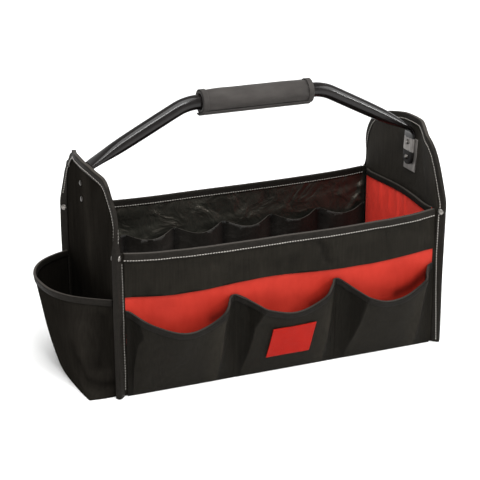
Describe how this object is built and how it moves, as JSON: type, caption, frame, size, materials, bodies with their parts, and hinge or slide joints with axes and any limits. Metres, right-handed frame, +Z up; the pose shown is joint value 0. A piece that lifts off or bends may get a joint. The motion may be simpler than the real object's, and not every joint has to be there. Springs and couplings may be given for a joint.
{
  "type": "open tool bag",
  "caption": "Open-topped fabric tool bag with tall end panels, a padded tube handle over the top, pleated front pockets, a deep end pocket and pockets inside.",
  "frame": {"origin": "centre of the base board's underside, on the surface that the bag stands on", "axes": "+X along the bag towards its right end, -Y towards the front pockets, +Z up"},
  "size_m": [0.5384, 0.2478, 0.3563],
  "materials": {
    "black_cloth": "coarse black polyester weave, slightly shiny",
    "lining_cloth": "coated black polyester, wrinkled, with a soft shine",
    "red_cloth": "red polyester weave, matte",
    "edge_tape": "dark grey ribbed binding tape",
    "grip_cloth": "padded dark grey grip cloth, matte",
    "painted_tube": "gloss black painted steel tube",
    "plate_steel": "dull grey steel plate",
    "rivet_steel": "bright domed rivet caps"
  },
  "bodies": {
    "root": {"base_board": "black_cloth", "front_wall": "red_cloth", "back_wall": "lining_cloth", "front_band": "black_cloth", "left_end_panel": "black_cloth", "left_end_tape": "edge_tape", "right_end_panel": "black_cloth", "right_end_tape": "edge_tape", "front_rim_tape": "edge_tape", "back_rim_tape": "edge_tape", "front_pocket_left": "black_cloth", "front_pocket_left_tape": "edge_tape", "front_pocket_middle": "black_cloth", "front_pocket_middle_tape": "edge_tape", "front_pocket_right": "black_cloth", "front_pocket_right_tape": "edge_tape", "label_patch": "red_cloth", "side_pocket": "black_cloth", "side_pocket_tape": "edge_tape", "side_pocket_base": "black_cloth", "inner_pocket_1": "black_cloth", "inner_pocket_2": "black_cloth", "inner_pocket_3": "black_cloth", "inner_pocket_4": "black_cloth", "inner_pocket_5": "black_cloth", "inner_pocket_6": "black_cloth", "end_pocket": "red_cloth", "end_pocket_tape": "edge_tape", "handle_tube": "painted_tube", "grip_sleeve": "grip_cloth", "grip_hem_left": "grip_cloth", "grip_hem_right": "grip_cloth", "grip_flap": "grip_cloth", "handle_plate_left": "plate_steel", "handle_plate_right": "plate_steel", "corner_rivet_front_left": "rivet_steel", "corner_rivet_back_left": "rivet_steel", "corner_rivet_front_right": "rivet_steel", "corner_rivet_back_right": "rivet_steel", "handle_rivet_upper_left": "rivet_steel", "handle_rivet_lower_left": "rivet_steel", "handle_rivet_upper_right": "rivet_steel", "handle_rivet_lower_right": "rivet_steel"}
  },
  "joints": []
}
